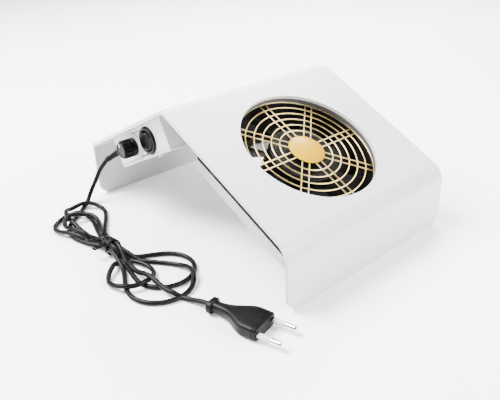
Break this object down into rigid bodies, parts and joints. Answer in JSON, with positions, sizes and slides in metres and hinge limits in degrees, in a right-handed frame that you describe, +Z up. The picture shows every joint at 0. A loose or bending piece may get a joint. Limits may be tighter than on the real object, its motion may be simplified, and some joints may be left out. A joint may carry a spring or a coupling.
{
  "type": "nail dust collector",
  "caption": "Bent white gable cover with a guarded round fan opening, a fan and bag flange below, a rear electrical box with switch and speed knob, and a tied mains cord with plug.",
  "frame": {"origin": "middle of the front wall's bottom edge, on the table", "axes": "+Z up, +Y from the front wall to the rear wall, -X to the side with the switch and knob"},
  "size_m": [0.259, 0.2874, 0.1159],
  "materials": {
    "white_shell": "smooth white, glossy",
    "white_plastic": "smooth white",
    "rim_foam": "soft closed-cell seal",
    "guard_wire": "pale gold coated wire",
    "badge_gold": "plain gold-yellow dome",
    "fan_black": "black moulded plastic",
    "lamination": "stacked steel sheets",
    "copper_wire": "enamelled copper wire",
    "bright_steel": "zinc-plated",
    "control_black": "black, lightly glossy",
    "contact_metal": "bright",
    "board_green": "circuit board",
    "ivory_plastic": "natural nylon",
    "capacitor_yellow": "moulded case",
    "sink_aluminium": "extruded",
    "device_black": "moulded case",
    "wire_red": "insulated wire",
    "cord_black": "black flexible sheath",
    "tie_black": "plastic-coated wire tie",
    "plug_black": "moulded plug",
    "pin_metal": "plated pins",
    "sleeve_grey": "insulating sleeve"
  },
  "bodies": {
    "main": {"cover": "white_shell", "rim_seal": "rim_foam", "guard": "guard_wire", "guard_badge": "badge_gold", "fan_frame": "fan_black", "stator_core": "lamination", "stator_windings": "copper_wire", "fan_bearings": "bright_steel", "exhaust_flange": "white_plastic", "fan_screws": "bright_steel", "box_shell": "white_plastic", "box_lid": "white_plastic", "lid_screws": "bright_steel", "box_screws": "bright_steel", "switch_body": "control_black", "switch_terminals": "contact_metal", "pot_body": "control_black", "pot_nut": "bright_steel", "dial_plate": "white_plastic", "control_board": "board_green", "board_spacers": "ivory_plastic", "capacitor": "capacitor_yellow", "choke_coil": "copper_wire", "heat_sink": "sink_aluminium", "power_triac": "device_black", "terminal_block": "ivory_plastic", "box_wires": "wire_red", "fan_lead": "cord_black", "lead_grommet": "cord_black", "strain_relief": "cord_black", "cord_lead": "cord_black", "cord_hank": "cord_black", "cord_tie": "tie_black", "cord_tail": "cord_black", "plug_body": "plug_black", "plug_pins": "pin_metal", "pin_sleeves": "sleeve_grey"},
    "rotor": {"rotor": "fan_black", "rotor_cage": "lamination", "rotor_shaft": "bright_steel", "shaft_clip": "bright_steel"},
    "knob": {"speed_knob": "control_black", "pot_shaft": "bright_steel"},
    "rocker": {"switch_rocker": "control_black"}
  },
  "joints": [
    {"name": "fan_spin", "type": "hinge", "parent": "main", "child": "rotor", "pos_m": [0, 0.06591, 0.08288], "axis": [0, -0.4384, 0.8988], "continuous": true},
    {"name": "knob_turn", "type": "hinge", "parent": "main", "child": "knob", "pos_m": [-0.087, 0.18937, 0.07048], "axis": [-1, 0, 0], "range_deg": [0, 270]},
    {"name": "rocker_tip", "type": "hinge", "parent": "main", "child": "rocker", "pos_m": [-0.087, 0.16707, 0.08177], "axis": [0, 0.8921, -0.4518], "range_deg": [0, 18]}
  ]
}
